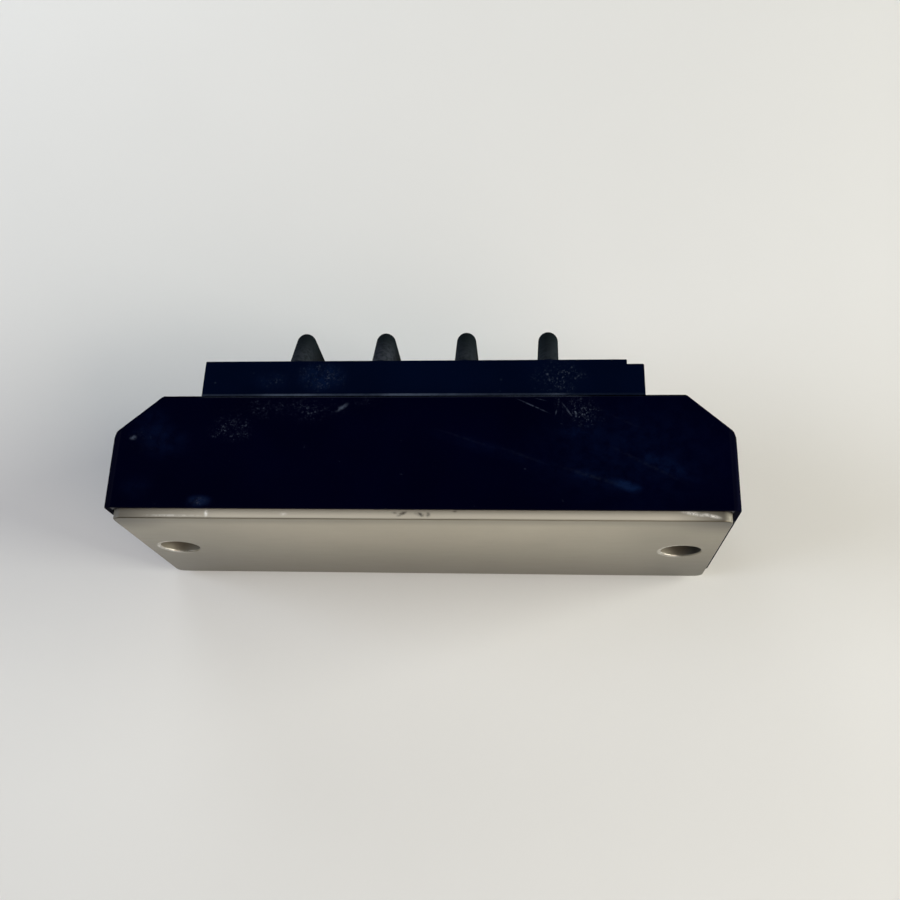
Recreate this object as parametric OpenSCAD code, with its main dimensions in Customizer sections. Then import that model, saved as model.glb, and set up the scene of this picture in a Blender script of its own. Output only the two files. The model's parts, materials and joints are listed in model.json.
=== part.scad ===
// Dual power transistor module with five screw terminals in a row, lying on its long side.
// The shapes below are drawn standing on the base plate: X along the module, Y across it and Z from the
// mounting face to the terminals. lying() then turns the whole module onto its side, so that in the
// finished part +Y runs from the mounting face to the terminals and +Z is up.
// The origin is the centre of the mounting face. All sizes are in millimetres.

/* [Mounting] */
// Distance between the two mounting holes
bolt_pitch = 80; // [76:0.5:90]
// Distance from each mounting hole to the nearer end of the base plate
bolt_edge = 5.5; // [4:0.1:8]
// Diameter of the mounting holes
bolt_hole_d = 6.2; // [4.5:0.1:6.6]
// Diameter of the seat that the case leaves free for a mounting screw and its washer
bolt_seat_d = 12; // [10:0.5:13]

/* [Base plate] */
// Width of the base plate
plate_w = 32.4; // [29:0.1:38]
// Thickness of the base plate
plate_t = 3; // [2.2:0.1:5]
// Corner radius of the base plate in plan
plate_corner_r = 1.5; // [0.5:0.1:4]

/* [Case] */
// Height of the case shoulder above the mounting face
case_h = 19.4; // [17:0.1:26]
// How far the case reaches past each end of the base plate
end_lap = 1.1; // [0.8:0.1:3]
// How far the case reaches past each long edge of the base plate
side_lap = 0.8; // [0.5:0.1:2]
// Thickness of the base plate that shows below the rim of the case
plate_show = 1.4; // [0.5:0.1:2]
// Thickness of the long walls
side_wall = 2.5; // [1.5:0.1:3.5]
// Thickness of the wall between each end recess and the cavity
recess_wall = 2.2; // [2:0.1:4]
// Length of the chamfer at the top of each end, along the module
end_chamfer_l = 6.8; // [1:0.1:8]
// Height of the chamfer at the top of each end
end_chamfer_h = 6.1; // [1:0.1:8]
// Radius where the chamfer meets the end wall
chamfer_foot_r = 2; // [0.5:0.1:4]
// Radius where the chamfer meets the shoulder
chamfer_head_r = 0.8; // [0.2:0.1:2]
// Radius of the upright outer corners
case_corner_r = 1; // [0.3:0.1:2]
// Radius of the long edges of the shoulder
shoulder_edge_r = 0.25; // [0.1:0.05:0.5]
// Radius of the upright corners of the cavity
cavity_corner_r = 1.5; // [0.5:0.1:3]
// Moulding draft of the outer walls, in degrees
draft_deg = 0.7; // [0.2:0.1:1.5]

/* [Terminal block] */
// Height of the terminal block above the shoulder
block_h = 6; // [5.5:0.1:10]
// Width of the lip by which each end of the block rests on the case
block_lip = 1.9; // [1:0.1:2]
// How far the long faces of the block stand back from the edge of the case
block_inset = 0.3; // [0.1:0.1:1]
// Depth of the plug that locates the block in the cavity
plug_depth = 2; // [1.5:0.1:4]
// Length of the lower step at the right-hand end
step_l = 2.6; // [1:0.1:3]
// Depth of the lower step at the right-hand end
step_h = 0.85; // [0.3:0.05:2]
// Extra width of the block outside the two end bays
bay_end = 1.45; // [0.5:0.05:2.5]
// Radius of the edges round the top of the block
block_edge_r = 0.25; // [0.1:0.05:0.5]

/* [Barrier ribs] */
// Height of the barrier ribs above the deck
rib_h = 7.2; // [4:0.1:9]
// Thickness of the rounded tip of a rib
rib_tip_t = 3.1; // [1.2:0.1:3.2]
// Draft of the rib faces, in degrees
rib_draft_deg = 2.6; // [0.5:0.1:4]
// Length over which each end of a rib would slope up to a sharp corner with the ridge
rib_slope_l = 4.6; // [2:0.1:8]
// Radius where the slope meets the ridge
rib_nose_r = 1.6; // [0.5:0.1:2.5]
// How far the foot of a rib stands back from the edge of the deck
rib_inset = 0.2; // [0:0.1:1]

/* [Terminals] */
// Thickness of the terminal strips
strip_t = 0.8; // [0.6:0.1:1.2]
// Width of the terminal strips
strip_w = 7.8; // [6:0.1:8.4]
// Inside radius of the bends
bend_r = 0.6; // [0.4:0.1:1]
// Length of the tab in front of the screw
tab_front_l = 5.6; // [5:0.1:8]
// Corner radius of the tab
tab_corner_r = 1; // [0.2:0.1:2]
// Distance from the screw to the leg behind it
leg_y = 6.7; // [6.2:0.1:8]
// Length of the foot that is soldered to the circuit
foot_l = 4.5; // [3:0.1:6]

/* [Fasteners] */
// Thread diameter of the terminal screws
screw_d = 4; // [3:0.5:4]
// Length of the screws under the head
screw_l = 8; // [7:0.5:9]
// Diameter of the screw heads
head_d = 8; // [6:0.1:8.4]
// Height of the screw heads
head_h = 3; // [2:0.1:3.4]
// Radius round the top of the screw heads
head_r = 1.3; // [0.5:0.1:1.8]
// Width of the cross slot
slot_w = 1; // [0.6:0.1:1.4]
// Length of the cross slot
slot_l = 4.4; // [3:0.1:5]
// Depth of the cross slot
slot_depth = 1.8; // [1:0.1:2.2]
// Diameter of the flat washers
washer_d = 9; // [7:0.1:9.2]
// Thickness of the flat washers
washer_t = 0.8; // [0.5:0.1:1]
// Diameter of the spring washers
spring_d = 7.3; // [6.5:0.1:8]
// Thickness of the spring washers
spring_t = 1; // [0.8:0.1:1.2]
// Width of the split in the spring washers
spring_split = 0.7; // [0.4:0.1:1.2]
// Width of the nuts across their flats
nut_af = 7; // [5.5:0.1:7.2]
// Height of the nuts
nut_h = 3.2; // [2.4:0.1:3.4]

/* [Circuit] */
// Margin between the substrate and the walls of the cavity
substrate_gap = 1; // [0.5:0.1:2]
// Thickness of the ceramic
ceramic_t = 0.64; // [0.4:0.02:1]
// Thickness of the copper foils
foil_t = 0.3; // [0.2:0.05:0.5]
// Bare ceramic left round the foils
foil_margin = 0.8; // [0.4:0.1:1.5]
// Gap between two tracks of the circuit
track_gap = 1.2; // [0.6:0.1:1.6]
// Width of the square transistor chips
transistor_w = 8.4; // [6:0.1:8.6]
// Distance that the transistor chips stand inward of their terminals
transistor_shift = 1.2; // [1:0.1:2]
// Width of the square diode chips
diode_w = 6.6; // [6:0.1:7.5]
// Thickness of the chips
chip_t = 0.35; // [0.2:0.05:0.6]
// Diameter of the bond wires
wire_d = 0.4; // [0.2:0.05:0.5]
// Distance between neighbouring bond wires
wire_pitch = 1.4; // [0.8:0.1:1.6]
// Depth of gel above the highest bond wire
gel_cover = 1.4; // [0.5:0.1:2.5]

/* [Fits] */
// Gap between the base plate and the rim of the case
plate_fit = 0.1; // [0.05:0.05:0.2]
// Gap between the plug of the block and the cavity
plug_fit = 0.1; // [0.05:0.05:0.3]
// Gap round a terminal strip in its slot
strip_fit = 0.15; // [0.1:0.05:0.3]
// Gap round a nut in its pocket
nut_fit = 0.1; // [0.05:0.05:0.2]
// Difference between a screw hole and the screw, on the diameter
hole_fit = 0.3; // [0.2:0.05:0.5]
// Difference between the bore of a nut and the screw, on the diameter
thread_fit = 0.1; // [0.05:0.05:0.2]
// Free depth under the tip of a screw
tip_room = 0.6; // [0.3:0.1:1]

/* [Hidden] */
terminal_names = [
    "collector_1_terminal",
    "base_1_terminal",
    "midpoint_terminal",
    "base_2_terminal",
    "emitter_2_terminal"
];

// Cuts reach this far past the face that they open
over = 1;
// Straight steps in a rounded corner
arc_steps = 8;
// Straight steps where a rib turns from its ridge to a slope
nose_steps = 3;
// Sides of the round holes and turned parts
$fn = 64;

// Colours
moulded_blue = [0.055, 0.06, 0.10];
nickel = [0.70, 0.68, 0.64];
zinc = [0.74, 0.73, 0.70];
copper = [0.80, 0.50, 0.33];
alumina = [0.93, 0.92, 0.88];
silicon = [0.36, 0.38, 0.43];
bond_grey = [0.82, 0.82, 0.84];
gel_clear = [0.86, 0.90, 0.92];
resin_grey = [0.20, 0.20, 0.21];

// Base plate and case
bays = len(terminal_names);
plate_l = bolt_pitch + 2 * bolt_edge;
case_l = plate_l + 2 * end_lap;
case_w = plate_w + 2 * side_lap;
cavity_l = bolt_pitch - bolt_seat_d - 2 * recess_wall;
cavity_w = case_w - 2 * side_wall;
draft = tan(draft_deg);
case_top_w = case_w - 2 * draft * (case_h - plate_show);

// Terminal block
block_l = cavity_l + 2 * block_lip;
block_w = case_top_w - 2 * block_inset;
deck_z = case_h + block_h;
deck_w = block_w - 2 * draft * block_h;
plug_z = case_h - plug_depth;
bay_pitch = (block_l - 2 * bay_end) / bays;

// Screw stack, from the deck upwards and down to the tip of the screw
tab_top_z = deck_z + strip_t;
spring_z = tab_top_z + washer_t;
head_z = spring_z + spring_t;
tip_z = head_z - screw_l;
nut_z = deck_z - nut_h;
screw_hole_d = screw_d + hole_fit;

// Circuit, from the base plate upwards
substrate_l = cavity_l - 2 * substrate_gap;
substrate_w = cavity_w - 2 * substrate_gap;
foil_l = substrate_l - 2 * foil_margin;
foil_w = substrate_w - 2 * foil_margin;
ceramic_z = plate_t + foil_t;
circuit_z = ceramic_z + ceramic_t;
track_z = circuit_z + foil_t;
chip_z = track_z + chip_t;

// Tracks: each terminal has a column, split across into a foot end and a chip end
track_w = bay_pitch - track_gap;
foot_tip_y = leg_y + strip_t - foot_l;
split_y = foot_tip_y - track_gap;
chip_y = (split_y - track_gap - foil_w / 2) / 2;
// Columns that carry the transistor of each half
halves = [0, 2];

// Bond wires: a landing lies this far inside the edge of its pad
landing = 2 * wire_d;
wires_per_hop = 4;
base_wires_per_chip = 2;
first_hop = terminal_x(1) - terminal_x(0) - transistor_shift - transistor_w / 4 - diode_w / 6;
gel_z = chip_z + first_hop / 2 + wire_d / 2 + gel_cover;

// Place of a terminal along the module
function terminal_x(i) = (i - (bays - 1) / 2) * bay_pitch;

// Direction from one point to another
function toward(from, to) = (to - from) / norm(to - from);

// Points that round the corner at b, between its neighbours a and c, with radius r
function rounded_corner(a, b, c, r) =
    let (
        to_a = toward(b, a),
        to_c = toward(b, c),
        half = acos(to_a * to_c) / 2,
        middle = b + toward([0, 0], to_a + to_c) * r / sin(half),
        start = b + to_a * r / tan(half) - middle,
        turn = cross(to_a, to_c) > 0 ? 1 : -1,
        sweep = turn * (2 * half - 180)
    )
    r == 0 ? [b] : [
        for (i = [0:arc_steps])
            let (angle = sweep * i / arc_steps)
            middle + [
                start.x * cos(angle) - start.y * sin(angle),
                start.x * sin(angle) + start.y * cos(angle)
            ]
    ];

// Outline with each corner rounded by its own radius
function rounded(points, radii) = [
    for (i = [0:len(points) - 1])
        let (last = len(points) - 1)
        each rounded_corner(
            points[i == 0 ? last : i - 1],
            points[i],
            points[i == last ? 0 : i + 1],
            radii[i]
        )
];

// Centred rectangle with rounded corners
function rounded_rectangle(length, width, r) = rounded(
    [
        [-length / 2, -width / 2],
        [length / 2, -width / 2],
        [length / 2, width / 2],
        [-length / 2, width / 2]
    ],
    [r, r, r, r]
);

// Turns the module from standing on its base plate to lying on its side
module lying() {
    rotate([-90, 0, 0])
        children();
}

// Outline in X and Z carried across the module
module across(outline, width) {
    rotate([90, 0, 0])
        linear_extrude(width, center = true)
            polygon(outline);
}

// Outline in Y and Z carried along the module
module along(outline, length) {
    rotate([90, 0, 90])
        linear_extrude(length, center = true)
            polygon(outline);
}

// Block from one height to another, with its outline in plan
module upright(outline, from_z, to_z) {
    translate([0, 0, from_z])
        linear_extrude(to_z - from_z)
            polygon(outline);
}

// Copies at the five terminals
module at_terminals() {
    for (i = [0:bays - 1])
        translate([terminal_x(i), 0, 0])
            children();
}

module base_plate() {
    color(nickel)
        difference() {
            upright(rounded_rectangle(plate_l, plate_w, plate_corner_r), 0, plate_t);
            for (side = [-1, 1])
                translate([side * bolt_pitch / 2, 0, -over])
                    cylinder(d = bolt_hole_d, h = plate_t + 2 * over);
        }
}

// Side view of the case: drafted ends with a chamfer at the top
function case_side() =
    let (
        foot_x = case_l / 2,
        bend_z = case_h - end_chamfer_h,
        bend_x = foot_x - draft * (bend_z - plate_show),
        head_x = bend_x - end_chamfer_l
    )
    rounded(
        [
            [-foot_x, plate_show],
            [foot_x, plate_show],
            [bend_x, bend_z],
            [head_x, case_h],
            [-head_x, case_h],
            [-bend_x, bend_z]
        ],
        [0, 0, chamfer_foot_r, chamfer_head_r, chamfer_head_r, chamfer_foot_r]
    );

// End view of the case: drafted long walls, with the edge of the shoulder rounded beside the block
function case_end() =
    let (edge_r = min(shoulder_edge_r, block_inset))
    rounded(
        [
            [-case_w / 2, plate_show],
            [case_w / 2, plate_show],
            [case_top_w / 2, case_h],
            [-case_top_w / 2, case_h]
        ],
        [0, 0, edge_r, edge_r]
    );

// Recess for a mounting screw, open at the end and at the top of the case
module end_recess() {
    translate([bolt_pitch / 2, 0, plate_t])
        cylinder(d = bolt_seat_d, h = case_h);
    translate([bolt_pitch / 2, -bolt_seat_d / 2, plate_t])
        cube([bolt_edge + end_lap + over, bolt_seat_d, case_h]);
}

module case() {
    color(moulded_blue)
        difference() {
            intersection() {
                across(case_side(), case_w + 2 * over);
                along(case_end(), case_l + 2 * over);
                upright(rounded_rectangle(case_l, case_w, case_corner_r), 0, case_h + over);
            }
            upright(
                rounded_rectangle(
                    plate_l + 2 * plate_fit,
                    plate_w + 2 * plate_fit,
                    plate_corner_r + plate_fit
                ),
                plate_show - over,
                plate_t
            );
            upright(
                rounded_rectangle(cavity_l, cavity_w, cavity_corner_r),
                plate_t - over,
                case_h + over
            );
            for (side = [0, 1])
                mirror([side, 0, 0])
                    end_recess();
        }
}

// Side view of the terminal block: drafted ends, with the lower step at the right
function block_side() =
    let (
        foot_x = block_l / 2,
        head_x = foot_x - draft * block_h,
        step_z = deck_z - step_h,
        step_x = foot_x - step_l
    )
    rounded(
        [
            [-foot_x, case_h],
            [foot_x, case_h],
            [foot_x - draft * (block_h - step_h), step_z],
            [step_x, step_z],
            [step_x, deck_z],
            [-head_x, deck_z]
        ],
        [0, 0, block_edge_r, 0, block_edge_r, block_edge_r]
    );

// End view of the terminal block
function block_end() = rounded(
    [
        [-block_w / 2, case_h],
        [block_w / 2, case_h],
        [deck_w / 2, deck_z],
        [-deck_w / 2, deck_z]
    ],
    [0, 0, block_edge_r, block_edge_r]
);

// Section of a barrier rib down to a depth below its ridge: drafted faces with a fully rounded tip
function rib_section(depth) =
    let (
        tip_r = rib_tip_t / 2,
        foot = tip_r * cos(rib_draft_deg)
            + (depth - tip_r + tip_r * sin(rib_draft_deg)) * tan(rib_draft_deg)
    )
    concat(
        [[-foot, -depth], [foot, -depth]],
        [
            for (i = [0:2 * arc_steps])
                let (angle = rib_draft_deg + (180 - 2 * rib_draft_deg) * i / (2 * arc_steps))
                [tip_r * cos(angle), tip_r * sin(angle) - tip_r]
        ]
    );

// Barrier rib: the same rounded section runs up a slope at each end, round the nose and along the ridge
module barrier_rib() {
    foot_y = deck_w / 2 - rib_inset;
    ridge_z = deck_z + rib_h;
    slope_deg = atan(rib_h / rib_slope_l);
    // The nose touches the ridge and the slope
    nose_z = ridge_z - rib_nose_r;
    nose_y = foot_y - (rib_nose_r + (nose_z - deck_z) * cos(slope_deg)) / sin(slope_deg);
    intersection() {
        translate([0, 0, ridge_z])
            across(rib_section(rib_h + block_h), 2 * foot_y);
        intersection_for(side = [-1, 1])
            intersection_for(step = [1:nose_steps]) {
                angle = slope_deg * step / nose_steps;
                translate([
                    0,
                    side * (nose_y + rib_nose_r * sin(angle)),
                    nose_z + rib_nose_r * cos(angle)
                ])
                    rotate([-side * angle, 0, 0])
                        across(rib_section(deck_w + block_h), 3 * deck_w);
            }
    }
}

// Nut pocket, room for the tip of the screw, and the slot for the leg of the terminal
module terminal_cut() {
    translate([0, 0, nut_z])
        cylinder(d = (nut_af + 2 * nut_fit) / cos(30), h = nut_h + over, $fn = 6);
    translate([0, 0, tip_z - tip_room])
        cylinder(d = screw_hole_d, h = nut_z - tip_z + tip_room + over);
    along(
        [
            [leg_y - strip_fit, plug_z - over],
            [leg_y + strip_t + strip_fit, plug_z - over],
            [leg_y + strip_t + strip_fit, deck_z + over],
            [leg_y - bend_r - strip_fit, deck_z + over],
            [leg_y - bend_r - strip_fit, deck_z],
            [leg_y - strip_fit, deck_z - bend_r]
        ],
        strip_w + 2 * strip_fit
    );
}

module terminal_block() {
    color(moulded_blue)
        difference() {
            union() {
                intersection() {
                    across(block_side(), block_w + 2 * over);
                    along(block_end(), block_l + 2 * over);
                }
                upright(
                    rounded_rectangle(
                        cavity_l - 2 * plug_fit,
                        cavity_w - 2 * plug_fit,
                        cavity_corner_r
                    ),
                    plug_z,
                    case_h + block_h / 2
                );
                for (i = [0:bays - 2])
                    translate([terminal_x(i) + bay_pitch / 2, 0, 0])
                        barrier_rib();
            }
            at_terminals()
                terminal_cut();
        }
}

// Side view of a terminal strip: tab over the nut, leg down to the circuit and foot on its track
function strip_side() = rounded(
    [
        [-tab_front_l, deck_z],
        [leg_y, deck_z],
        [leg_y, track_z + strip_t],
        [foot_tip_y, track_z + strip_t],
        [foot_tip_y, track_z],
        [leg_y + strip_t, track_z],
        [leg_y + strip_t, tab_top_z],
        [-tab_front_l, tab_top_z]
    ],
    [0, bend_r, bend_r, 0, 0, bend_r + strip_t, bend_r + strip_t, 0]
);

module terminal_strip() {
    back_y = leg_y + strip_t + over;
    difference() {
        intersection() {
            along(strip_side(), strip_w);
            upright(
                rounded(
                    [
                        [-strip_w / 2, -tab_front_l],
                        [strip_w / 2, -tab_front_l],
                        [strip_w / 2, back_y],
                        [-strip_w / 2, back_y]
                    ],
                    [tab_corner_r, tab_corner_r, 0, 0]
                ),
                plate_t,
                tab_top_z + over
            );
        }
        translate([0, 0, deck_z - strip_t])
            cylinder(d = screw_hole_d, h = 3 * strip_t);
    }
}

module terminal(i) {
    color(nickel)
        translate([terminal_x(i), 0, 0])
            terminal_strip();
}

module terminal_nuts() {
    color(zinc)
        at_terminals()
            translate([0, 0, nut_z])
                difference() {
                    cylinder(d = nut_af / cos(30), h = nut_h, $fn = 6);
                    translate([0, 0, -over])
                        cylinder(d = screw_d + thread_fit, h = nut_h + 2 * over);
                }
}

// Half section of a screw, with its head standing on zero
function screw_profile() =
    let (
        shank_r = screw_d / 2,
        tip_bevel = screw_d / 8
    )
    rounded(
        [
            [0, -screw_l],
            [shank_r - tip_bevel, -screw_l],
            [shank_r, tip_bevel - screw_l],
            [shank_r, 0],
            [head_d / 2, 0],
            [head_d / 2, head_h],
            [0, head_h]
        ],
        [0, 0, 0, 0, 0, head_r, 0]
    );

module terminal_screws() {
    color(zinc)
        at_terminals()
            translate([0, 0, head_z])
                difference() {
                    rotate_extrude()
                        polygon(screw_profile());
                    for (turn = [45, 135])
                        rotate([0, 0, turn])
                            translate([-slot_l / 2, -slot_w / 2, head_h - slot_depth])
                                cube([slot_l, slot_w, slot_depth + over]);
                }
}

// Ring with a hole for the terminal screw
module ring(outside_d, thickness) {
    difference() {
        cylinder(d = outside_d, h = thickness);
        translate([0, 0, -over])
            cylinder(d = screw_hole_d, h = thickness + 2 * over);
    }
}

module spring_washers() {
    color(zinc)
        at_terminals()
            translate([0, 0, spring_z])
                difference() {
                    ring(spring_d, spring_t);
                    translate([0, -spring_split / 2, -over])
                        cube([spring_d, spring_split, spring_t + 2 * over]);
                }
}

module flat_washers() {
    color(zinc)
        at_terminals()
            translate([0, 0, tab_top_z])
                ring(washer_d, washer_t);
}

// Centred plate that lies flat on a height
module slab(length, width, from_z, thickness) {
    translate([-length / 2, -width / 2, from_z])
        cube([length, width, thickness]);
}

module substrate_back_foil() {
    color(copper)
        slab(foil_l, foil_w, plate_t, foil_t);
}

module ceramic_substrate() {
    color(alumina)
        slab(substrate_l, substrate_w, ceramic_z, ceramic_t);
}

// Piece of track over some columns, from one place to another across the module
module track(first, last, from_y, to_y) {
    left = max(terminal_x(first) - track_w / 2, -foil_l / 2);
    right = min(terminal_x(last) + track_w / 2, foil_l / 2);
    translate([left, from_y, circuit_z])
        cube([right - left, to_y - from_y, foil_t]);
}

module circuit_foil() {
    back_y = foil_w / 2;
    color(copper) {
        for (half = halves) {
            union() {
                track(half, half, -back_y, back_y);
                track(half, half + 1, -back_y, split_y - track_gap);
            }
            track(half + 1, half + 1, split_y, back_y);
        }
        track(bays - 1, bays - 1, -back_y, back_y);
    }
}

// Square chip on the chip end of a column
module chip(x, side) {
    translate([x - side / 2, chip_y - side / 2, track_z])
        cube([side, side, chip_t]);
}

// Place of a transistor chip along the module
function transistor_x(half) = terminal_x(half) + transistor_shift;

module transistor_chips() {
    color(silicon)
        for (half = halves)
            chip(transistor_x(half), transistor_w);
}

module diode_chips() {
    color(silicon)
        for (half = halves)
            chip(terminal_x(half + 1), diode_w);
}

// Bond wire: half a ring from a chip to a landing, which may be as high as the chip or lower
module bond_wire(from, to, landing_z) {
    span = norm(to - from);
    translate([from.x, from.y, landing_z])
        rotate([0, 0, atan2(to.y - from.y, to.x - from.x)])
            difference() {
                translate([span / 2, 0, 0])
                    rotate([90, 0, 0])
                        rotate_extrude(angle = 180)
                            translate([span / 2, 0])
                                circle(d = wire_d);
                if (landing_z < chip_z)
                    translate([-wire_d, -wire_d, -over])
                        cube([3 * wire_d, 2 * wire_d, chip_z - landing_z + over]);
            }
}

module emitter_wires() {
    color(bond_grey)
        for (half = halves, i = [0:wires_per_hop - 1]) {
            y = chip_y + (i - (wires_per_hop - 1) / 2) * wire_pitch;
            diode_x = terminal_x(half + 1);
            bond_wire(
                [transistor_x(half) + transistor_w / 4, y],
                [diode_x - diode_w / 6, y],
                chip_z
            );
            bond_wire(
                [diode_x + diode_w / 6, y],
                [terminal_x(half + 2) - track_w / 2 + 2 * landing, y],
                track_z
            );
        }
}

module base_wires() {
    color(bond_grey)
        for (half = halves, i = [0:base_wires_per_chip - 1])
            bond_wire(
                [
                    transistor_x(half) + transistor_w / 2 - landing,
                    chip_y + transistor_w / 2 - landing
                ] - [i * wire_pitch, 0],
                [terminal_x(half + 1) - track_w / 2 + landing, split_y + 2 * landing]
                    + [0, i * wire_pitch],
                track_z
            );
}

// Everything that stands in the gel or passes through the seal
module potted_parts() {
    substrate_back_foil();
    ceramic_substrate();
    circuit_foil();
    transistor_chips();
    diode_chips();
    emitter_wires();
    base_wires();
}

module silicone_gel() {
    color(gel_clear)
        difference() {
            upright(rounded_rectangle(cavity_l, cavity_w, cavity_corner_r), plate_t, gel_z);
            potted_parts();
            at_terminals()
                terminal_strip();
        }
}

module resin_seal() {
    color(resin_grey)
        difference() {
            upright(rounded_rectangle(cavity_l, cavity_w, cavity_corner_r), gel_z, plug_z);
            at_terminals()
                terminal_strip();
        }
}

lying() base_plate();
lying() case();
lying() terminal_block();
for (i = [0:bays - 1])
    lying() terminal(i);
lying() terminal_nuts();
lying() terminal_screws();
lying() spring_washers();
lying() flat_washers();
lying() substrate_back_foil();
lying() ceramic_substrate();
lying() circuit_foil();
lying() transistor_chips();
lying() diode_chips();
lying() emitter_wires();
lying() base_wires();
lying() silicone_gel();
lying() resin_seal();
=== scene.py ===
"""Looks of a dual power transistor module that lies on its long side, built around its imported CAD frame.

The frame is in metres: X runs along the module, Y from the mounting face to the terminals, and Z is up.
Patterns and wear are drawn in millimetres on Object coordinates.
"""
import json
import math

import bpy
import numpy as np
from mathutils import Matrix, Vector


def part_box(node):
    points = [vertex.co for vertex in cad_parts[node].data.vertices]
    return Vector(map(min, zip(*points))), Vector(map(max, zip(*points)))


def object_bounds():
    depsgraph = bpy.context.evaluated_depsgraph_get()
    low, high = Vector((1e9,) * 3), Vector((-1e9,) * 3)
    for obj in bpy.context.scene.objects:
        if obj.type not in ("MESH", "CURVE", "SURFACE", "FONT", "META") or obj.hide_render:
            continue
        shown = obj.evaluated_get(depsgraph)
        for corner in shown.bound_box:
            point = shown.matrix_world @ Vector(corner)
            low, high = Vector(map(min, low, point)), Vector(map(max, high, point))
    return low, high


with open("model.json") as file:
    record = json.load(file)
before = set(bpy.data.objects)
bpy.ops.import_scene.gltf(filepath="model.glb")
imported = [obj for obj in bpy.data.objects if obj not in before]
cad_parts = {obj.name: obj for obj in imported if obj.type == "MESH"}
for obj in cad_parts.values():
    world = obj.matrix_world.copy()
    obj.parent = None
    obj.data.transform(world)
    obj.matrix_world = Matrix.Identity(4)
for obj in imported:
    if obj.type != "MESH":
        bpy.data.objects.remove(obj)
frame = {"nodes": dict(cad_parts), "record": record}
cad_low, cad_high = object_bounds()

MM = 0.001

# Camera, as the photograph was taken: from above and from the mounting side; metres, degrees and millimetres
CAMERA_PLACE = (0.017723, -0.043734, 0.162725)
CAMERA_TURN = (20.478, 4.403, 1.706)
CAMERA_LENS = 42.413
CAMERA_SENSOR = 36
CAMERA_NEAR = 0.005

# Floor: its half side in metres and its tone
FLOOR_REACH = 4.0
FLOOR_TONE = (0.80, 0.80, 0.785)

# Room: its tone, the light of its walls and of its ceiling, and the sines of the heights between which
# the one fades to the other
WORLD_TONE = (1.0, 0.95, 0.87, 1)
WALL_LIGHT = 0.36
CEILING_LIGHT = 0.02
WALL_TOP = 0.10
CEILING_EDGE = 0.60

# Soft boxes, which all face the module: place and size in metres, power in watts and tone
SOFT_BOXES = {
    "right_box": ((0.76, 0.0, 0.22), 0.5, 9.9, (1, 1, 0.91)),
    "left_box": ((-0.68, 0.0, 0.424), 0.5, 3.7, (0.82, 0.88, 1)),
    "front_box": ((0.48, -0.48, 0.424), 0.5, 2.3, (1, 0.84, 0.72)),
    "back_corner_box": ((-0.14, 0.26, 0.14), 0.15, 0.18, (0.93, 0.97, 1)),
}

# Tones of the plastic: bare, the ribs' painted reflection and their paler feet, the painted highlight along
# edges, hazed and scuffed
CASE_TONE = (0.0002, 0.0003, 0.0060)
BLOCK_TONE = (0.0004, 0.0020, 0.0104)
# The ribs' tone is painted reflection of the floor on the block's own dark plastic
RIB_REFLECTION_TONE = (0.0062, 0.0095, 0.0115)
RIB_FOOT_TONE = (0.032, 0.037, 0.048, 1)
EDGE_HIGHLIGHT_TONE = (0.052, 0.066, 0.100, 1)
HAZE_TONE = (0.0024, 0.0078, 0.0330, 1)
SCUFF_TONE = (0.060, 0.074, 0.112, 1)
# Refraction of the plastic, low so that its sheen stays dark, and its roughness where it is bare
CASE_IOR = 1.12
BLOCK_IOR = 1.05
PLASTIC_ROUGHNESS = 0.17

# Tones of the plate's nickel, its milled edge, bright nicks and painted highlights, and dark stains, and the
# roughness of the nickel
NICKEL_TONE = (0.495, 0.452, 0.358)
MILLED_TONE = (0.590, 0.545, 0.452, 1)
NICK_AND_HIGHLIGHT_TONE = (0.95, 0.93, 0.88, 1)
STAIN_TONE = (0.06, 0.05, 0.04, 1)
NICKEL_ROUGHNESS = 0.30

# Plated finishes: tone and roughness
PLATED_FINISHES = {
    "strip_nickel": ((0.68, 0.66, 0.61), 0.28),
    "zinc_steel": ((0.66, 0.66, 0.65), 0.30),
}
# Plain finishes of the pieces inside: tone, roughness and share of metal
PLAIN_FINISHES = {
    "foil_copper": ((0.80, 0.42, 0.26), 0.35, 1.0),
    "silicon": ((0.20, 0.21, 0.24), 0.20, 0.6),
    "bond_aluminium": ((0.80, 0.80, 0.82), 0.30, 1.0),
    "alumina": ((0.85, 0.83, 0.78), 0.50, 0.0),
    "silicone_gel": ((0.72, 0.76, 0.78), 0.15, 0.0),
    "sealing_resin": ((0.04, 0.04, 0.045), 0.35, 0.0),
}
# The finish of each node; those that aren't named here are the folded terminals
NODE_FINISHES = {
    "base_plate": "plate_nickel",
    "case": "case_plastic",
    "terminal_block": "block_plastic",
    "terminal_nuts": "zinc_steel",
    "terminal_screws": "zinc_steel",
    "spring_washers": "zinc_steel",
    "flat_washers": "zinc_steel",
    "substrate_back_foil": "foil_copper",
    "ceramic_substrate": "alumina",
    "circuit_foil": "foil_copper",
    "transistor_chips": "silicon",
    "diode_chips": "silicon",
    "emitter_wires": "bond_aluminium",
    "base_wires": "bond_aluminium",
    "silicone_gel": "silicone_gel",
    "resin_seal": "sealing_resin",
}
TERMINAL_FINISH = "strip_nickel"

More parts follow.
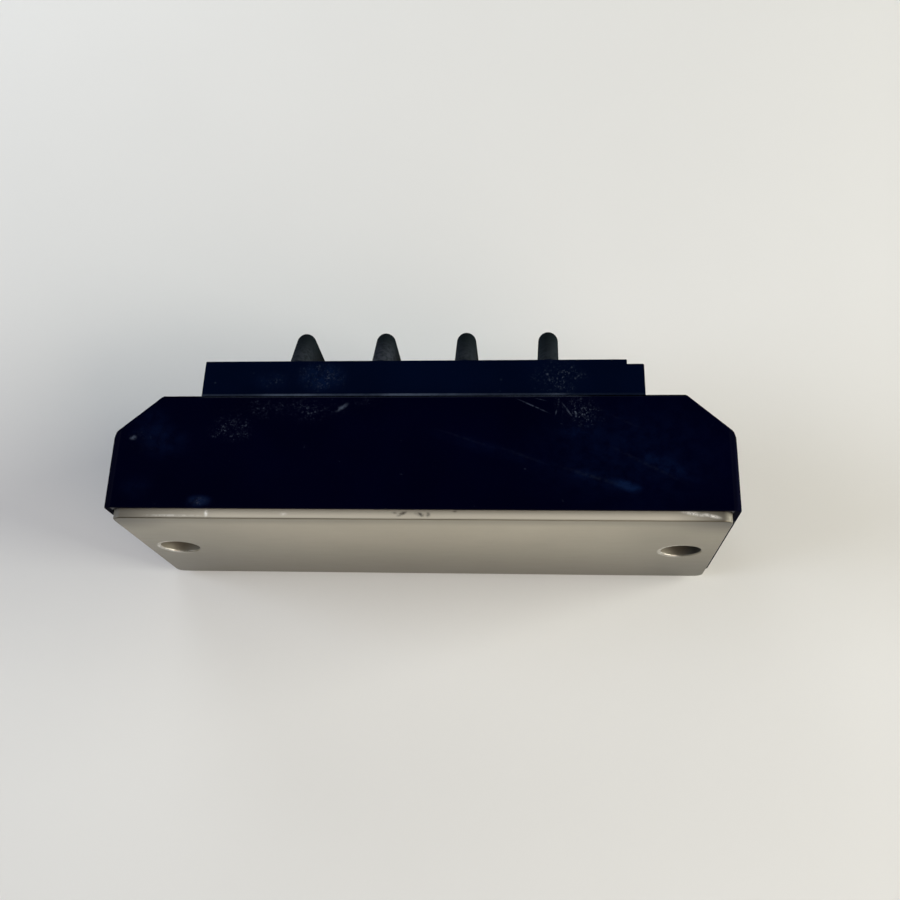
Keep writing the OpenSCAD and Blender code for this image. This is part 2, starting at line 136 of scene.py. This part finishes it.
# Rows of wear: the middle of a soft oval in x and y, its reach both ways, its turn in degrees and strength
CASE_SPECKLES = (
    (-28.2, 13.9, 4.6, 2.8, 0, 0.65),
    (-24.7, 17.4, 3.0, 1.8, 0, 0.25),
    (-16.5, 16.8, 3.4, 3.0, 0, 0.32),
    (24.0, 16.8, 5.0, 3.4, -30, 0.80),
    (-8.0, 18.4, 3.0, 1.2, 0, 0.20),
    (-20.0, 17.4, 13.0, 2.6, 0, 0.30),
    (-32.1, 2.3, 2.0, 1.0, 0, 0.30),
    (-41.0, 12.5, 5.0, 3.5, 0, 0.10),
)
CASE_HAZES = (
    (-38.2, 11.8, 5.0, 3.8, 0, 0.32),
    (-42.0, 4.6, 3.6, 2.6, 0, 0.18),
    (-41.0, 14.5, 4.5, 4.0, 0, 0.30),
    (-32.1, 2.4, 2.6, 1.3, 0, 1.00),
    (23.9, 13.4, 4.0, 1.8, 0, 0.26),
    (30.7, 5.0, 3.0, 1.1, -18, 0.95),
    (10.0, 11.0, 12.0, 1.6, -17, 0.16),
    (25.0, 6.6, 9.0, 1.5, -18, 0.22),
    (36.2, 8.2, 6.5, 1.7, -26, 0.36),
    (31.0, 10.5, 20.0, 12.0, 0, 0.24),
)
CASE_SPOTS = (
    (-43.4, 12.5, 0.8, 0.55, 0, 0.90),
    (-32.1, 2.5, 2.2, 1.0, 0, 0.07),
    (-31.1, 12.7, 0.30, 0.25, 0, 0.45),
    (-28.3, 12.7, 0.35, 0.22, 0, 0.45),
    (-11.7, 17.4, 1.5, 0.55, 35, 0.85),
    (15.9, 7.6, 0.25, 0.20, 0, 0.25),
)
BLOCK_SPECKLES = (
    (-22.9, 22.1, 3.4, 2.0, 0, 0.30),
    (-15.2, 22.6, 5.0, 3.2, 0, 0.70),
    (20.8, 22.3, 5.0, 3.8, 0, 0.90),
)
BLOCK_HAZES = (
    (-15.2, 22.6, 5.0, 3.0, 0, 0.75),
    (-23.0, 22.0, 4.0, 2.0, 0, 0.25),
)
BLOCK_SPOTS = (
    (19.2, 22.9, 0.35, 0.28, 0, 0.60),
    (19.6, 21.9, 0.30, 0.35, 0, 0.70),
    (12.1, 20.2, 0.25, 0.22, 0, 0.35),
    (-31.8, 21.7, 0.25, 0.22, 0, 0.25),
)
# Rows of scratches: from x and y, to x and y, width and strength
CASE_SCRATCHES = (
    (13.9, 19.1, 20.3, 16.0, 0.34, 0.60),
    (20.3, 15.9, 20.6, 17.2, 0.30, 0.60),
    (20.9, 18.7, 23.4, 15.0, 0.40, 0.45),
    (17.0, 18.9, 19.4, 18.3, 0.24, 0.35),
    (1.0, 14.5, 13.3, 10.2, 0.60, 0.04),
    (10.8, 11.5, 20.2, 7.9, 0.70, 0.05),
    (19.0, 8.6, 32.0, 4.4, 0.90, 0.06),
    (25.6, 12.6, 40.8, 4.4, 0.80, 0.05),
    (27.0, 16.8, 34.5, 13.2, 0.60, 0.04),
)
# The plate's bright marks: nicks, and in the last two rows painted glints at its right end
PLATE_NICKS_AND_GLINTS = (
    (-31.0, 0.75, 0.45, 0.75, 0, 1.2),
    (-36.0, 0.45, 6.0, 0.25, 0, 0.5),
    (-19.4, 0.75, 0.8, 0.40, 0, 0.5),
    (39.8, 1.2, 2.6, 0.45, -10, 1.1),
    (42.4, 0.85, 1.8, 0.40, -14, 1.0),
)
PLATE_STAINS = (
    (-1.9, 0.90, 1.1, 0.40, 25, 1.2),
    (-3.0, 1.05, 0.7, 0.30, -10, 0.7),
    (0.7, 0.80, 1.1, 0.45, -15, 1.3),
    (1.9, 0.75, 0.5, 0.60, 0, 1.0),
    (5.8, 1.30, 0.6, 0.25, 0, 0.7),
)
# How far a mark on a side face reaches into the piece
MARK_DEPTH = 1.0

# Stretches along the module: the places where wear and painted highlights start to fade in or out, and where
# that ends
EDGE_HIGHLIGHT_IN = (-34.5, -33.0)
EDGE_HIGHLIGHT_OUT = (26.0, 24.0)
BRIGHT_EDGE_IN = (11.0, 14.0)
BRIGHT_EDGE_OUT = (25.0, 23.0)
SEAM_HIGHLIGHT_OUT = (22.5, 20.5)
HAZED_RIB_IN = (-12.0, -9.0)
HAZED_RIB_OUT = (-1.0, -4.0)
CLEAN_RIBS_IN = (0.0, 12.0)
# The same for the painted shade on the plate, where the first two go from its middle to both of its ends
SHADED_HALVES_IN = (12.0, 40.0)
SHADED_ENDS_IN = (27.0, 40.0)
SHADED_RIGHT_IN = (33.0, 40.0)
SHADED_LEFT_IN = (-28.0, -38.0)

# Mounting holes, as the frame says: their place along the module, a reach just past their walls and one over
# the painted highlights at their rims
HOLES = next(mount["dims"] for mount in frame["record"]["mounts"] if mount["name"] == "mounting_holes")
WALL_MARGIN = 0.2
RIM_HIGHLIGHT_WIDTH = 0.7
HOLE_PLACE = HOLES["spacing_x_mm"] / 2
WALL_REACH = HOLES["hole_r_mm"] + WALL_MARGIN
RIM_REACH = HOLES["hole_r_mm"] + RIM_HIGHLIGHT_WIDTH
# Reaches of the painted shade in the holes and at the near corners, and one that takes in the plate's whole
# thickness
LEFT_BORE_SHADE_REACH = 3.6
RIGHT_BORE_SHADE_REACH = 6.0
CORNER_LENGTH = 10.0
CORNER_DEPTH = 8.0
THROUGH = 10.0

# Rounded edges, in millimetres and degrees: the nodes that have them, the gap over which corners are welded,
# the bend up to which faces are joined, the rounding's width and steps, and the least bend of a sharp edge
ROUNDED_NODES = ("base_plate", "case")
WELD_REACH = 0.002
FLAT_BEND = 0.1
ROUNDING = 0.25
ROUNDING_STEPS = 3
SHARP_BEND = 35


class Wire:
    """A shader socket that takes part in Python arithmetic: every operator adds one Math node."""

    def __init__(self, nodes, socket):
        self.nodes = nodes
        self.socket = socket

    def outlet(self, name):
        """Another outlet of the same node."""
        return Wire(self.nodes, self.socket.node.outputs[name])

    def math(self, operation, first, second=0.0):
        """One Math node."""
        return self.nodes.add("Math", {"operation": operation}, {0: first, 1: second})

    def __add__(self, other):
        return self.math("ADD", self, other)

    def __radd__(self, other):
        return self.math("ADD", other, self)

    def __sub__(self, other):
        return self.math("SUBTRACT", self, other)

    def __rsub__(self, other):
        return self.math("SUBTRACT", other, self)

    def __mul__(self, other):
        return self.math("MULTIPLY", self, other)

    def __rmul__(self, other):
        return self.math("MULTIPLY", other, self)

    def __abs__(self):
        return self.math("ABSOLUTE", self)

    def at_most(self, other):
        """The smaller of the two."""
        return self.math("MINIMUM", self, other)

    def at_least(self, other):
        """The larger of the two."""
        return self.math("MAXIMUM", self, other)

    def ramp(self, start, end):
        """0 at start and before it, 1 at end and past it, with a smooth change between them."""
        sockets = {0: self, 1: min(start, end), 2: max(start, end)}
        sockets.update({3: 0, 4: 1} if start < end else {3: 1, 4: 0})
        return self.nodes.add("MapRange", {"interpolation_type": "SMOOTHSTEP"}, sockets)


class Nodes:
    """The node tree of a material or a world, emptied first. add() makes any node."""

    def __init__(self, owner):
        owner.use_nodes = True
        self.tree = owner.node_tree
        self.tree.nodes.clear()

    def add(self, kind, settings=None, sockets=None, outlet=0):
        """One node of a kind, with its settings first and then the values or links of its sockets."""
        node = self.tree.nodes.new("ShaderNode" + kind)
        for key, value in (settings or {}).items():
            setattr(node, key, value)
        for key, value in (sockets or {}).items():
            if isinstance(value, Wire):
                self.tree.links.new(value.socket, node.inputs[key])
            else:
                node.inputs[key].default_value = value
        return Wire(self, node.outputs[outlet]) if node.outputs else None


class Finish(Nodes):
    """A material's nodes: place is the spot on the piece in millimetres, and x, y and z are its parts."""

    def __init__(self, name):
        self.material = bpy.data.materials.new(name)
        super().__init__(self.material)
        spot = self.add("TexCoord", outlet="Object")
        self.place = self.add("VectorMath", {"operation": "SCALE"}, {0: spot, "Scale": 1 / MM})
        self.x = self.add("SeparateXYZ", sockets={0: self.place}, outlet="X")
        self.y = self.x.outlet("Y")
        self.z = self.x.outlet("Z")

    def noise(self, scale, detail, roughness=0.5, stretch=(1, 1, 1)):
        """Even noise with about scale lumps to a millimetre, drawn out where stretch is small."""
        spot = self.add("VectorMath", {"operation": "MULTIPLY"}, {0: self.place, 1: stretch})
        return self.add(
            "TexNoise", sockets={"Vector": spot, "Scale": scale, "Detail": detail, "Roughness": roughness}
        )

    def specks(self, scale, size):
        """Dots of uneven brightness, about scale to a millimetre; size is a share of their spacing."""
        uneven = self.add("TexNoise", sockets={"Vector": self.place, "Scale": 2 * scale}, outlet="Color")
        push = (0.5 / scale,) * 3
        spot = self.add("VectorMath", {"operation": "MULTIPLY_ADD"}, {0: uneven, 1: push, 2: self.place})
        dots = self.add("TexVoronoi", sockets={"Vector": spot, "Scale": scale}, outlet="Distance")
        bright = self.add("SeparateColor", sockets={0: dots.outlet("Color")}, outlet="Red")
        return dots.ramp(size, 0.3 * size) * bright * bright

    def oval(self, middle, reach, turn=0, fade=1.0):
        """Oval that is 0 past its reach and rises to 1 over the fade, a share of its reach."""
        sockets = {0: self.place, "Location": middle, "Rotation": (0, 0, math.radians(turn)), "Scale": reach}
        spot = self.add("Mapping", {"vector_type": "TEXTURE"}, sockets)
        return self.add("VectorMath", {"operation": "LENGTH"}, {0: spot}, outlet="Value").ramp(1, 1 - fade)

    def marks(self, side, rows):
        """Sum of soft ovals on the side face at a height, each as strong as its row says."""
        return sum(
            strength * self.oval((x, y, side), (reach_x, reach_y, MARK_DEPTH), turn)
            for x, y, reach_x, reach_y, turn, strength in rows
        )

    def mix(self, share, first, second):
        """Colour that goes from first to second with the share."""
        return self.add("Mix", {"data_type": "RGBA"}, {0: share, 6: first, 7: second}, outlet=2)

    def layered(self, colour, layers):
        """Colour under layers, from the lowest to the top one, each with its mask and its own colour."""
        for mask, cover in layers:
            colour = self.mix(mask, colour, cover)
        return colour

    def bump(self, height, distance):
        """Normal of a surface raised by height times distance, in millimetres."""
        return self.add("Bump", sockets={"Height": height, "Distance": distance * MM})

    def done(self, **sockets):
        """Joins a Principled shader with the given sockets to the output."""
        names = {name.replace("_", " "): value for name, value in sockets.items()}
        shader = self.add("BsdfPrincipled", sockets=names)
        self.add("OutputMaterial", sockets={"Surface": shader})
        return self.material


def shade(tone, share):
    """Colour with its tone made lighter or darker by a share."""
    return (*(share * part for part in tone), 1)


def scratch_rows(scratches):
    """Thin ovals that stand for scratches: middle, half length, half width, turn and strength."""
    rows = []
    for from_x, from_y, to_x, to_y, width, strength in scratches:
        length = math.hypot(to_x - from_x, to_y - from_y)
        turn = math.degrees(math.atan2(to_y - from_y, to_x - from_x))
        middle = ((from_x + to_x) / 2, (from_y + to_y) / 2)
        rows.append((*middle, length / 2, width / 2, turn, strength))
    return tuple(rows)


def box_mm(node):
    """Lowest and highest corner of a CAD node in millimetres."""
    return [np.array(corner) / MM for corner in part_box(node)]


def dress(node, material):
    """Gives a CAD node its finish."""
    for slot in frame["nodes"][node].material_slots:
        slot.material = material


def round_edges(node):
    """Welds a CAD node's loose triangles, joins its flat faces and rounds the edges that are sharp."""
    piece = frame["nodes"][node]
    weld = piece.modifiers.new("weld", "WELD")
    weld.merge_threshold = WELD_REACH * MM
    flat = piece.modifiers.new("flat_faces", "DECIMATE")
    flat.decimate_type = "DISSOLVE"
    flat.angle_limit = math.radians(FLAT_BEND)
    bevel = piece.modifiers.new("rounded_edges", "BEVEL")
    bevel.width = ROUNDING * MM
    bevel.segments = ROUNDING_STEPS
    bevel.limit_method = "ANGLE"
    bevel.angle_limit = math.radians(SHARP_BEND)
    bevel.use_clamp_overlap = False
    normals = piece.modifiers.new("face_normals", "WEIGHTED_NORMAL")
    normals.mode = "FACE_AREA"


def moulded_plastic(finish, tone, ior, side, wear, edge_highlight, ribs=0.0, rib_feet=0.0, dull_corners=0.0):
    """Satin moulding with slow flow marks, fine grain, hazy smears, speckled scuffs and a painted highlight
    along edges.

    Side is the height of the side face, and wear its rows of speckles, hazes and spots. The rest are masks.
    """
    speckles, smears, spots = (finish.marks(side, rows) for rows in wear)
    flow = finish.noise(0.10, detail=5)
    grain = finish.noise(5.0, detail=3)
    broken = finish.noise(1.6, detail=4).ramp(0.30, 0.62)
    blotches = finish.noise(1.8, detail=5, roughness=0.7).ramp(0.50, 0.78)
    patchy = 0.2 + finish.noise(0.7, detail=4, roughness=0.6).ramp(0.44, 0.60)
    cloudy = 0.2 + 1.1 * finish.noise(0.55, detail=5, roughness=0.7).ramp(0.32, 0.68)
    dots = finish.specks(2.0, size=0.44) + finish.specks(4.0, size=0.46)
    dust = finish.specks(0.55, size=0.16).ramp(0.5, 0.9)
    hazes = smears * cloudy
    scuffs = (speckles * patchy * (dots + 0.6 * blotches) + spots * broken + 0.08 * dust).at_most(1.0)
    layers = (
        # Ribs in a paler charcoal: painted reflection of the floor
        (ribs, finish.mix(flow, shade(RIB_REFLECTION_TONE, 0.8), shade(RIB_REFLECTION_TONE, 1.2))),
        (rib_feet * (0.35 + 0.75 * broken), RIB_FOOT_TONE),
        (hazes, HAZE_TONE),
        # Painted highlight along the edges
        (edge_highlight * (0.7 + 0.3 * broken), EDGE_HIGHLIGHT_TONE),
        (scuffs, SCUFF_TONE),
    )
    dullness = 0.60 * ribs + 0.75 * dull_corners
    return finish.done(
        Base_Color=finish.layered(finish.mix(flow, shade(tone, 0.7), shade(tone, 1.5)), layers),
        Roughness=PLASTIC_ROUGHNESS + 0.06 * flow + 0.10 * hazes + 0.30 * scuffs + dullness,
        IOR=ior,
        Normal=finish.bump(grain + 2.0 * scuffs, 0.005),
    )


def case_plastic():
    """Dark blue case with dull upright corners and a painted highlight along its shoulder edge, lightest
    beside the scratches.
    """
    finish = Finish("case_plastic")
    end, shoulder, side = box_mm("case")[1]
    # Painted highlight along the shoulder edge of the near face, brightest beside the scratches
    edge = finish.y.ramp(shoulder - 0.42, shoulder - 0.2) * abs(finish.z).ramp(side - 0.62, side - 0.45)
    bright = finish.x.ramp(*BRIGHT_EDGE_IN) * finish.x.ramp(*BRIGHT_EDGE_OUT)
    along = finish.x.ramp(*EDGE_HIGHLIGHT_IN) * (0.18 + 0.42 * finish.x.ramp(*EDGE_HIGHLIGHT_OUT) + 0.40 * bright)
    return moulded_plastic(
        finish,
        CASE_TONE,
        CASE_IOR,
        side,
        wear=(CASE_SPECKLES, CASE_HAZES, CASE_SPOTS + scratch_rows(CASE_SCRATCHES)),
        edge_highlight=edge * along,
        dull_corners=abs(finish.x).ramp(end - 1.3, end - 0.9),
    )


def block_plastic():
    """Terminal block, a shade greener than the case: ribs in a charcoal that is painted reflection, with
    paler feet, and a painted highlight along the seam below.
    """
    finish = Finish("block_plastic")
    _, ridge, side = box_mm("terminal_block")[1]
    deck = box_mm("terminal_nuts")[1][1]
    foot = box_mm("case")[1][1]
    ribs = finish.y.ramp(deck + 0.05, deck + 0.35)
    hazed_rib = finish.x.ramp(*HAZED_RIB_IN) * finish.x.ramp(*HAZED_RIB_OUT)
    pale = 0.60 + 0.40 * hazed_rib - 0.22 * finish.x.ramp(*CLEAN_RIBS_IN)
    uneven = 0.3 + 0.9 * finish.noise(0.09, detail=3).ramp(0.35, 0.65)
    along = 0.15 + 0.85 * finish.x.ramp(*SEAM_HIGHLIGHT_OUT)
    return moulded_plastic(
        finish,
        BLOCK_TONE,
        BLOCK_IOR,
        side,
        wear=(BLOCK_SPECKLES, BLOCK_HAZES, BLOCK_SPOTS),
        # Painted highlight along the seam just above the case's shoulder
        edge_highlight=finish.y.ramp(foot + 0.46, foot + 0.30) * uneven * along,
        ribs=ribs,
        rib_feet=ribs * finish.y.ramp(ridge - 0.5, deck) * pale,
    )


def hole_masks(finish, broken):
    """Where the walls of the mounting holes, the painted shade on them and the painted highlights at their
    rims are.
    """
    holes = (-HOLE_PLACE, HOLE_PLACE)
    walls = sum(finish.oval((x, 0, 0), (WALL_REACH, THROUGH, WALL_REACH), fade=0.05) for x in holes)
    bores = finish.y.ramp(0.10, 0.30) * walls
    left_reach = (LEFT_BORE_SHADE_REACH, THROUGH, LEFT_BORE_SHADE_REACH)
    right_reach = (RIGHT_BORE_SHADE_REACH, THROUGH, RIGHT_BORE_SHADE_REACH)
    left_bore_shade = 0.7 * finish.oval((WALL_REACH - HOLE_PLACE, 0, 0), left_reach, fade=0.8)
    right_bore_shade = finish.oval((WALL_REACH + HOLE_PLACE, 0, 0), right_reach, fade=0.7)
    deep_left = 0.8 * finish.y.ramp(1.2, 2.6) * finish.x.ramp(0.0, -1.0)
    # Painted shade on the walls of the holes, darkest on their right and deep in the left one
    bore_shade = bores * (left_bore_shade + right_bore_shade).at_least(deep_left)
    # Painted highlights on the left of each hole's rim
    rings = sum(
        finish.oval((x, 0, 0), (RIM_REACH, THROUGH, RIM_REACH), fade=0.1) * finish.x.ramp(x + 2, x - 2)
        for x in holes
    )
    rim_highlights = rings * (1 - bores) * (0.3 + 0.7 * broken)
    return bores, bore_shade, rim_highlights


def nickel_colour(finish, end, side, milled, bore_shade):
    """Clouded nickel with painted shade towards the far side, along the near edge, towards the ends, at the
    far right, in the holes, under the case's foot and at the near corners, and paler where milled.
    """
    cloud = finish.noise(0.09, detail=6, roughness=0.6)
    both_ways = abs(finish.x)
    face = 1 - milled
    far_side = face * finish.z.ramp(side, -side)
    near_edge = face * finish.z.ramp(side - 3.6, side - 0.4)
    far_right = finish.x.ramp(*SHADED_RIGHT_IN) * finish.z.ramp(0.0, -side)
    milled_foot = milled * finish.y.ramp(0.45, 1.30)
    milled_ends = milled * both_ways.ramp(end - 2.5, end - 1.0).at_least(0.8 * finish.x.ramp(*SHADED_LEFT_IN))
    corners = sum(finish.oval((x, 0, side), (CORNER_LENGTH, THROUGH, CORNER_DEPTH)) for x in (-end, end))
    # Every layer but the milled tone is painted shade
    layers = (
        (0.90 * far_side, shade(NICKEL_TONE, 0.40)),
        (0.55 * near_edge, shade(NICKEL_TONE, 0.45)),
        (0.22 * both_ways.ramp(*SHADED_HALVES_IN), shade(NICKEL_TONE, 0.30)),
        (0.26 * both_ways.ramp(*SHADED_ENDS_IN), shade(NICKEL_TONE, 0.30)),
        (0.40 * far_right, shade(NICKEL_TONE, 0.15)),
        (0.95 * bore_shade, shade(NICKEL_TONE, 0.04)),
        (milled, MILLED_TONE),
        (0.45 * milled_foot, shade(NICKEL_TONE, 0.45)),
        (0.60 * milled_ends, shade(NICKEL_TONE, 0.35)),
        (0.90 * corners, shade(NICKEL_TONE, 0.20)),
    )
    return finish.layered(finish.mix(cloud, shade(NICKEL_TONE, 1.12), shade(NICKEL_TONE, 0.86)), layers)


def plate_nickel():
    """Nickel on copper: brushed along its length, milled at its edges, with nicks and stains, and with
    painted glints, highlights and shade.
    """
    finish = Finish("plate_nickel")
    end, _, side = box_mm("base_plate")[1]
    brushed = finish.noise(3.0, detail=3, stretch=(0.05, 1, 1))
    broken = finish.noise(1.4, detail=4, roughness=0.7).ramp(0.36, 0.60)
    outside = abs(finish.z).ramp(side - 0.5, side - 0.3).at_least(abs(finish.x).ramp(end - 0.5, end - 0.3))
    milled = finish.y.ramp(0.06, 0.28) * outside
    bores, bore_shade, rim_highlights = hole_masks(finish, broken)
    # Nicks, with the painted glints and the painted rim highlights
    nicks_and_highlights = (finish.marks(side, PLATE_NICKS_AND_GLINTS) * (0.25 + 0.75 * broken)).at_least(0.7 * rim_highlights).at_most(1.0)
    stains = (finish.marks(side, PLATE_STAINS) * (0.3 + 0.7 * broken)).at_most(0.9)
    bare = nickel_colour(finish, end, side, milled, bore_shade)
    return finish.done(
        Base_Color=finish.layered(bare, ((nicks_and_highlights, NICK_AND_HIGHLIGHT_TONE), (stains, STAIN_TONE))),
        Metallic=1.0 - 0.7 * milled - 0.5 * bores - 0.4 * bore_shade,
        Roughness=NICKEL_ROUGHNESS + 0.10 * brushed + 0.25 * milled + 0.15 * bores + 0.40 * bore_shade,
        Normal=finish.bump(brushed + 0.6 * nicks_and_highlights - stains, 0.004),
    )


def plated_metal(name, tone, roughness):
    """Bright plating with soft clouds and fine drawing lines along the module."""
    finish = Finish(name)
    cloud = finish.noise(0.3, detail=5)
    brushed = finish.noise(4.0, detail=3, stretch=(0.12, 1, 1))
    return finish.done(
        Base_Color=finish.mix(cloud, shade(tone, 1.06), shade(tone, 0.84)),
        Metallic=1.0,
        Roughness=roughness - 0.06 + 0.12 * brushed,
        Normal=finish.bump(brushed, 0.004),
    )


def plain_finish(name, tone, roughness, metallic):
    """Even finish of a piece inside the case, with slight clouds."""
    finish = Finish(name)
    cloud = finish.noise(0.5, detail=4)
    colour = finish.mix(cloud, shade(tone, 1.05), shade(tone, 0.85))
    return finish.done(Base_Color=colour, Roughness=roughness - 0.05 + 0.1 * cloud, Metallic=metallic)


def dress_all():
    """Makes the finishes and puts every CAD node in its own."""
    finishes = {
        "plate_nickel": plate_nickel(),
        "case_plastic": case_plastic(),
        "block_plastic": block_plastic(),
    }
    for name, row in PLATED_FINISHES.items():
        finishes[name] = plated_metal(name, *row)
    for name, row in PLAIN_FINISHES.items():
        finishes[name] = plain_finish(name, *row)
    for node in frame["nodes"]:
        dress(node, finishes[NODE_FINISHES.get(node, TERMINAL_FINISH)])


def pale_floor():
    """Pale matt sheet with very slight clouds."""
    finish = Finish("pale_floor")
    cloud = finish.noise(0.03, detail=4)
    colour = finish.mix(cloud, shade(FLOOR_TONE, 1.0), shade(FLOOR_TONE, 0.97))
    return finish.done(Base_Color=colour, Roughness=0.6 + 0.1 * cloud, Specular_IOR_Level=0.2)


def make_floor():
    """Level square under the part: two parameters from minus to plus the reach, at its lowest point."""
    corners = np.array([(-1, -1), (1, -1), (1, 1), (-1, 1)]) * FLOOR_REACH
    places = np.column_stack([corners, np.full(4, cad_low[2])])
    mesh = bpy.data.meshes.new("floor")
    mesh.from_pydata(places.tolist(), [], [(0, 1, 2, 3)])
    floor = bpy.data.objects.new("floor", mesh)
    bpy.context.scene.collection.objects.link(floor)
    mesh.materials.append(pale_floor())


def soft_light(name, place, size, power, tone):
    """Square soft box at a place, facing the module and out of the camera's sight."""
    light = bpy.data.lights.new(name, "AREA")
    light.size = size
    light.energy = power
    light.color = tone
    lamp = bpy.data.objects.new(name, light)
    bpy.context.scene.collection.objects.link(lamp)
    lamp.location = place
    lamp.visible_camera = False
    lamp.rotation_euler = (-Vector(place)).to_track_quat("-Z", "Y").to_euler()


def make_world():
    """Room light: bright walls round the horizon, fading to a dark ceiling."""
    world = bpy.data.worlds.new("studio")
    room = Nodes(world)
    direction = room.add("TexCoord", outlet="Generated")
    height = room.add("SeparateXYZ", sockets={0: direction}, outlet="Z")
    light = WALL_LIGHT - (WALL_LIGHT - CEILING_LIGHT) * height.ramp(WALL_TOP, CEILING_EDGE)
    sky = room.add("Background", sockets={"Color": WORLD_TONE, "Strength": light})
    room.add("OutputWorld", sockets={"Surface": sky})
    bpy.context.scene.world = world


def make_camera():
    """Camera that sees the part as the photograph does."""
    lens = bpy.data.cameras.new("camera")
    lens.lens = CAMERA_LENS
    lens.sensor_width = CAMERA_SENSOR
    lens.clip_start = CAMERA_NEAR
    camera = bpy.data.objects.new("camera", lens)
    bpy.context.scene.collection.objects.link(camera)
    camera.location = CAMERA_PLACE
    camera.rotation_euler = [math.radians(turn) for turn in CAMERA_TURN]
    bpy.context.scene.camera = camera


dress_all()
for node in ROUNDED_NODES:
    round_edges(node)
make_floor()
make_world()
make_camera()
for name, row in SOFT_BOXES.items():
    soft_light(name, *row)
bpy.context.scene.view_settings.view_transform = "Standard"
